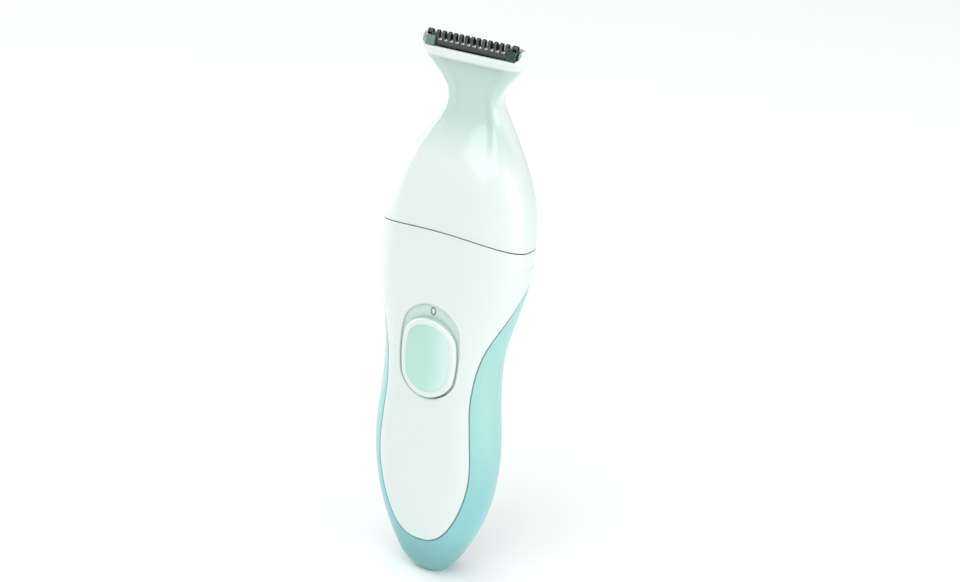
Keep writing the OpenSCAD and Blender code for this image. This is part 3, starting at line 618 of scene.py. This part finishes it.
def head():
    """The head's shell, from the parting line up to the rim, with an open bay for the blades."""
    around = np.linspace(-math.pi, math.pi, 401)
    edge = np.full_like(around, RIM_Z)
    # the edge's height depends on its depth, and its depth on its height: they settle in a few rounds
    for _ in range(20):
        edge = rim_edge(body(around, edge)[:, 1])
    low = PARTING_TOP + PARTING_HALF_GAP + edge_shares(EDGE_ZONE)[:, None]
    high = edge - edge_shares(EDGE_ZONE)[::-1, None]
    share = np.linspace(0, 1, 82)[1:-1, None]
    middle = low[-1] + share * (high[0] - low[-1])
    z = np.concatenate([np.broadcast_to(low, (len(low), len(around))), middle, high])
    phi = np.broadcast_to(around, z.shape)
    follow = 1 - ease(z, PARTING_TOP, PARTING_TOP + PARTING_CLEAR)
    z_bent = z + follow * (parting_z(body(phi, z)[..., 0]) - PARTING_TOP)
    fall = np.maximum(drop(z - PARTING_TOP - PARTING_HALF_GAP, SEAM_ROUND), drop(edge - z, RIM_ROUND))
    points = body(phi, z_bent) - normals(phi, z_bent) * fall[..., None]
    shell = thicken(sheet("head_skin", points), HEAD_WALL)
    bm = bmesh.new()
    bay_x = BLOCK_OUT + 0.1
    cube(bm, (-bay_x, -10, RIM_Z), (bay_x, BAY_BACK_Y, RIM_Z + 10))
    carve(shell, finish_bmesh("blade_bay", bm))
    return dress(shell, "head", HEAD_ABS_PAINTED_LIGHT, slot="white_shell", stands_for=["head_shell"])


# ---------------------------------------------------------------- button
def pill_ring(radius, low=TRACK_LOW, high=TRACK_HIGH, outer=TRACK_R):
    """Points round an upright pill outline whose end centres belong to the outer pill."""
    turn = np.linspace(0, 2 * math.pi, 161)
    middle, half = (low + high) / 2, (high - low) / 2 - outer
    s, c = np.sin(turn), np.cos(turn)
    # the end centres part over a short stretch of the turn, so the straight sides get some points too
    lift = np.clip(s * 2.6, -1, 1) * half
    return radius * c, middle + lift + radius * s


def skin_y(x, z):
    """Front y of the body's surface above a point of the front plane."""
    a, n = half_width(z), squareness(z)
    front, back = front_y(z), back_y(z)
    return (front + back) / 2 - (back - front) / 2 * (1 - np.abs(x / a) ** n) ** (1 / n)


def level_ring(radius, y):
    """A ring of the track's pill at one depth."""
    x, z = pill_ring(radius)
    return np.stack([x, np.full_like(x, y), z], -1)


def closed_stack(name, rings):
    """A closed body from a stack of rings, whose first and last rings have shrunk to a line."""
    points = np.array(rings)
    points[:, -1] = points[:, 0]
    return sheet(name, points, closed=True)


def track_cutter():
    """Tool that cuts the track's hole in the cover: straight walls and a mouth rounded on the surface."""
    rings = [level_ring(0, TRACK_BACK), level_ring(TRACK_R, TRACK_BACK)]
    for angle in np.linspace(0, math.pi / 2, 7):
        x, z = pill_ring(TRACK_R + TRACK_ROUND * (1 - math.cos(angle)))
        rings.append(np.stack([x, skin_y(x, z) + TRACK_ROUND * (1 - math.sin(angle)), z], -1))
    # beyond the rounded mouth the tool widens just clear of the surface
    x, z = pill_ring(TRACK_R + TRACK_ROUND + 0.5)
    rings.append(np.stack([x, skin_y(x, z) - 0.15, z], -1))
    rings.append(np.stack([x, np.full_like(x, TRACK_FRONT), z], -1))
    rings.append(level_ring(0, TRACK_FRONT))
    return closed_stack("track_hole", rings)


def track():
    """Floor of the recess that the button slides in."""
    reach, fillet, depth = TRACK_R - 0.02, 0.12, 0.9
    rings = [level_ring(0, TRACK_FLOOR + depth), level_ring(reach, TRACK_FLOOR + depth)]
    for angle in np.linspace(0, math.pi / 2, 5):
        rings.append(level_ring(reach - fillet * (1 - math.cos(angle)),
                                TRACK_FLOOR + fillet * (1 - math.sin(angle))))
    rings += [level_ring((reach - fillet) * share, TRACK_FLOOR) for share in (0.66, 0.33, 0.0)]
    floor = closed_stack("track_floor", rings)
    floor.data.set_sharp_from_angle(angle=math.radians(CRISP))
    return dress(floor, "handle", FINISH["pale_track"], slot="pale_track", stands_for=["switch_track"])


def off_mark():
    """A small ring on the track above the button, the plain sign for off."""
    line_r, ring_r = 0.11, 0.85
    upright = Matrix.Rotation(math.radians(90), 3, "X")
    bm = bmesh.new()
    bmesh.ops.create_circle(bm, radius=line_r * MM, segments=10)
    bmesh.ops.rotate(bm, verts=bm.verts, cent=(0, 0, 0), matrix=upright)
    bmesh.ops.translate(bm, verts=bm.verts, vec=(ring_r * MM, 0, 0))
    bmesh.ops.spin(bm, geom=bm.verts[:] + bm.edges[:], cent=(0, 0, 0), axis=(0, 1, 0),
                   angle=2 * math.pi, steps=40, use_merge=True)
    bmesh.ops.scale(bm, verts=bm.verts, vec=(0.85, 0.35, 1.15))
    bmesh.ops.translate(bm, verts=bm.verts, vec=Vector((0, TRACK_FLOOR - 0.03, TRACK_HIGH - 2.0)) * MM)
    ring = finish_bmesh("off_mark", bm)
    return dress(ring, "handle", MARK_INK, slot="pale_track")


def crown(x):
    """How far the cap's face lies behind its crown at a distance from the middle."""
    return CROWN_R - np.sqrt(CROWN_R ** 2 - x ** 2)


def cap_ring(radius, height):
    """A ring of the cap's crowned face: height is how far it lies behind the crown."""
    x, z = pill_ring(radius, CAP_LOW, CAP_HIGH, CAP_R)
    return np.stack([x, CAP_FACE + crown(x) + height, z], -1)


def flat_ring(radius, y):
    """A ring of the cap's pill at one depth."""
    x, z = pill_ring(radius, CAP_LOW, CAP_HIGH, CAP_R)
    return np.stack([x, np.full_like(x, y), z], -1)


def button_cap():
    """Cap: a skirt in painted shade, a broad rounded rim, and a pocket that the pad fills to the brim."""
    foot, pocket_r, pocket_depth = TRACK_FLOOR - 0.2, CAP_R - CAP_RIM, 1.6
    rings = [flat_ring(0, foot), flat_ring(CAP_R, foot)]
    for angle in np.linspace(0, math.pi / 2, 11):
        rings.append(cap_ring(CAP_R - CAP_SHOULDER * (1 - math.cos(angle)),
                              CAP_SHOULDER * (1 - math.sin(angle))))
    for angle in np.linspace(math.pi / 2, 0, 4):
        rings.append(cap_ring(pocket_r + CAP_LIP * (1 - math.cos(angle)),
                              CAP_LIP * (1 - math.sin(angle)) + 0.1))
    rings += [cap_ring(pocket_r * share, pocket_depth) for share in (1.0, 0.66, 0.33, 0.0)]
    cap = closed_stack("button_cap_skin", rings)
    cap.data.set_sharp_from_angle(angle=math.radians(CRISP))
    # the skirt's faces, which lie behind the rounded shoulder, take the second material, the painted shade
    for face in cap.data.polygons:
        x, y, _ = face.center / MM
        if y > CAP_FACE + crown(x) + CAP_SHOULDER * 0.9:
            face.material_index = 1
    return dress(cap, "power_button", FINISH["white_shell"], CAP_SKIRT_PAINTED_SHADE, slot="white_shell",
                 stands_for=["button_cap"])


def button_pad():
    """Mint pad, dished for the thumb, flush with the rim round it."""
    edge_r, foot_depth = CAP_R - CAP_RIM - 0.01, 1.5
    rings = [cap_ring(0, foot_depth), cap_ring(edge_r, foot_depth)]
    for angle in np.linspace(0, math.pi / 2, 4):
        rings.append(cap_ring(edge_r - PAD_ROUND * (1 - math.cos(angle)),
                              PAD_SINK + PAD_ROUND * (1 - math.sin(angle))))
    for share in np.linspace(0.97, 0, 26):
        ring = cap_ring(edge_r * share, PAD_SINK)
        ring[:, 1] += PAD_DISH * (1 - share ** 2) ** 1.5
        rings.append(ring)
    pad = closed_stack("button_pad_skin", rings)
    pad.data.set_sharp_from_angle(angle=math.radians(50))
    return dress(pad, "power_button", FINISH["mint_pad"], slot="mint_pad", stands_for=["button_pad"])


# ---------------------------------------------------------------- blades
BLADE_LOW = RIM_Z + 0.1
ROOT_Z = RIM_Z + 2.1      # where the guard teeth start
BLADE_TOP = RIM_Z + 4.1
TEETH = 13
PITCH = 1.7
TOOTH_W = 0.84            # width of a guard tooth
PLATE_HALF = 10.65        # half the width of the comb's front plate
BLOCK_IN = PLATE_HALF + 0.1
BLOCK_OUT = BLOCK_IN + 2.5
BLOCK_HIGH = RIM_Z + 2.6
PLATE_Y = -1.35           # front of the comb
BLOCK_Y = -2.3            # front of the blocks
CURL_R = 0.75             # radius of the teeth's curl over the cutter
CURL_Z = BLADE_TOP - CURL_R
STRIP = 0.36              # thickness of the comb's steel
CUTTER_PITCH = PITCH * 0.8
CUTTER_TOOTH_HALF = 0.36  # half the width of a cutter tooth at its foot


def cube(bm, low, high):
    """A box between two corners, in mm."""
    made = bmesh.ops.create_cube(bm, size=1)["verts"]
    low, high = Vector(low), Vector(high)
    bmesh.ops.scale(bm, verts=made, vec=(high - low) * MM)
    bmesh.ops.translate(bm, verts=made, vec=(low + high) / 2 * MM)
    return made


def raise_face(bm, face, move):
    """Extrudes a face along a move in mm and returns the face at its new place."""
    grown = bmesh.ops.extrude_face_region(bm, geom=[face])["geom"]
    corners = [g for g in grown if isinstance(g, bmesh.types.BMVert)]
    bmesh.ops.translate(bm, verts=corners, vec=Vector(move) * MM)
    return next(g for g in grown if isinstance(g, bmesh.types.BMFace))


def tooth(bm, x, width, low):
    """One guard tooth: a steel strip that rises, curls over the cutter and comes down behind."""
    foot = bmesh.ops.create_grid(bm, x_segments=1, y_segments=1, size=0.5)["verts"]
    bmesh.ops.scale(bm, verts=foot, vec=Vector((width, STRIP, 1)) * MM)
    bmesh.ops.translate(bm, verts=foot, vec=Vector((x, PLATE_Y + STRIP / 2, low)) * MM)
    top = raise_face(bm, foot[0].link_faces[0], (0, 0, CURL_Z - low))
    curl = bmesh.ops.spin(bm, geom=[top, *top.edges, *top.verts], axis=(-1, 0, 0), angle=math.pi, steps=8,
                          cent=Vector((x, PLATE_Y + CURL_R, CURL_Z)) * MM)["geom_last"]
    end = next(g for g in curl if isinstance(g, bmesh.types.BMFace))
    raise_face(bm, end, (0, 0, low - CURL_Z))


def guard_comb():
    """Front and rear plates, the teeth that join them over the cutter, and a wing at each end."""
    bm = bmesh.new()
    plate = cube(bm, (-PLATE_HALF, PLATE_Y, BLADE_LOW), (PLATE_HALF, PLATE_Y + 0.5, ROOT_Z))
    for v in plate:
        # the plate's top edge is ground back to a slope, which shines between the teeth
        if v.co.z > (ROOT_Z - 0.1) * MM and v.co.y < (PLATE_Y + 0.1) * MM:
            v.co.z -= 0.25 * MM
        # and its upper right corner is cut in
        if v.co.z > (ROOT_Z - 0.5) * MM and v.co.x > 0:
            v.co.x -= 0.5 * MM
    cube(bm, (-PLATE_HALF, -0.2, RIM_Z + 0.5), (PLATE_HALF, 0.15, ROOT_Z))
    for i in range(TEETH):
        tooth(bm, (i - (TEETH - 1) / 2) * PITCH, TOOTH_W, ROOT_Z - 0.3)
    for side in (-1, 1):
        ends = sorted((side * (PLATE_HALF - 0.3), side * BLOCK_OUT))
        cube(bm, (ends[0], PLATE_Y, BLOCK_HIGH + 0.05), (ends[1], PLATE_Y + 0.4, CURL_Z - 0.02))
        tooth(bm, side * (BLOCK_OUT - 0.75), 1.5, BLOCK_HIGH + 0.05)
    comb = soften(finish_bmesh("guard_comb_fine", bm), 0.15, 3)
    return dress(comb, "head", FINISH["comb_steel"], slot="comb_steel", stands_for=["guard_comb"])


def ground_roots():
    """Bare ground steel at the foot of each gap between the teeth, sloped so that it shines."""
    half = (PITCH - TOOTH_W) / 2 + 0.06
    bm = bmesh.new()
    for i in range(TEETH - 1):
        x = (i + 1 - TEETH / 2) * PITCH
        made = cube(bm, (x - half, PLATE_Y - 0.03, ROOT_Z - 0.5), (x + half, PLATE_Y + 0.42, ROOT_Z + 0.12))
        for v in made:
            if v.co.z > ROOT_Z * MM and v.co.y < PLATE_Y * MM:
                v.co.z -= 0.4 * MM
    roots = soften(finish_bmesh("ground_roots", bm), 0.04, 2)
    return dress(roots, "head", FINISH["plated_steel"], slot="plated_steel")


def cutter_blade():
    """The sliding blade: a flat plate with tapered teeth, a little closer set than the comb's."""
    low, high = (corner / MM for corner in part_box("cutter_blade"))
    tooth_low, taper, end_room = RIM_Z + 2, 0.55, 0.8
    count = int((high.x - low.x - end_room) / CUTTER_PITCH) + 1
    bm = bmesh.new()
    cube(bm, low, (high.x, high.y, tooth_low))
    for i in range(count):
        x = (i - (count - 1) / 2) * CUTTER_PITCH
        made = cube(bm, (x - CUTTER_TOOTH_HALF, low.y, tooth_low - 0.1),
                    (x + CUTTER_TOOTH_HALF, high.y, high.z))
        tips = [v for v in made if v.co.z > (high.z - 0.1) * MM]
        bmesh.ops.scale(bm, verts=tips, vec=(taper, 1, 1), space=Matrix.Translation((-x * MM, 0, 0)))
    blade = soften(finish_bmesh("cutter_blade_fine", bm), 0.04, 2)
    return dress(blade, "cutter", FINISH["cutter_steel"], slot="cutter_steel", stands_for=["cutter_blade"])


def end_blocks():
    """Green blocks beside the comb, proud of its plate, with their top edges sloped away."""
    bm = bmesh.new()
    for side in (-1, 1):
        ends = sorted((side * BLOCK_IN, side * BLOCK_OUT))
        made = cube(bm, (ends[0], BLOCK_Y, BLADE_LOW), (ends[1], 0.9, BLOCK_HIGH))
        for v in made:
            if v.co.z > (BLOCK_HIGH - 0.1) * MM and v.co.y < 0:
                v.co.y += 0.45 * MM
    blocks = soften(finish_bmesh("blade_end_blocks_fine", bm), 0.22, 4)
    return dress(blocks, "head", END_BLOCK_PAINTED_REFLECTION, slot="dark_plastic", stands_for=["blade_end_blocks"])


# ---------------------------------------------------------------- studio
def camera():
    """Seen from the front right and above, with a slight roll, so the top leans right."""
    azimuth, elevation, roll = math.radians(30), math.radians(22.04), math.radians(4.56)
    distance, slide_right, slide_up = 449.3, 4.11, -4.70
    right = Vector((math.cos(azimuth), math.sin(azimuth), 0))
    forward = Vector((-math.sin(azimuth) * math.cos(elevation), math.cos(azimuth) * math.cos(elevation),
                      -math.sin(elevation)))
    up = right.cross(forward)
    aim = Vector((0, 0, 80)) * MM
    place = aim + (-right * slide_right - up * slide_up - forward * distance) * MM
    leaned_right = right * math.cos(roll) + up * math.sin(roll)
    leaned_up = up * math.cos(roll) - right * math.sin(roll)
    data = bpy.data.cameras.new("camera")
    data.sensor_width = 36
    data.lens = 62.0
    data.shift_x = 0.0437
    data.clip_start, data.clip_end = 0.01, 20
    cam = bpy.data.objects.new("camera", data)
    bpy.context.scene.collection.objects.link(cam)
    turn = np.array([leaned_right, leaned_up, -forward]).T
    cam.matrix_world = Matrix.Translation(place) @ Matrix(turn.tolist()).to_4x4()
    bpy.context.scene.camera = cam


def lamp(name, towards, strength, breadth):
    """A very broad, even light from a direction, like a wall of softboxes; its breadth in degrees."""
    data = bpy.data.lights.new(name, "SUN")
    data.energy = strength
    data.angle = math.radians(breadth)
    obj = bpy.data.objects.new(name, data)
    obj.rotation_euler = Vector(towards).to_track_quat("Z", "Y").to_euler()
    bpy.context.scene.collection.objects.link(obj)


def studio():
    """A white room: an even surround, a floor and three broad lights."""
    world = bpy.data.worlds.new("studio")
    world.use_nodes = True
    background = world.node_tree.nodes["Background"]
    background.inputs["Color"].default_value = paint("#fbfefd")
    background.inputs["Strength"].default_value = 0.61
    bpy.context.scene.world = world
    bm = bmesh.new()
    bmesh.ops.create_grid(bm, x_segments=1, y_segments=1, size=3)
    floor = finish_bmesh("floor", bm)
    # polished white acrylic: a faint reflection under the tip
    floor.data.materials.append(base("white_acrylic", {
        "Roughness": 0.12, "IOR": 1.3, "Base Color": paint("#fdfdfd")})[0])
    lamp("front_top", (0, -0.6, 0.8), 1.09, 50)
    lamp("right_wall", (0.95, -0.2, 0.25), 1.47, 50)
    lamp("left_wall", (-0.95, 0.1, 0.25), 1.6, 50)
    bpy.context.scene.view_settings.view_transform = "Standard"


camera()
studio()
front_cover()
rear_cover()
seam_tongue()
head()
track()
off_mark()
button_cap()
button_pad()
guard_comb()
ground_roots()
cutter_blade()
end_blocks()
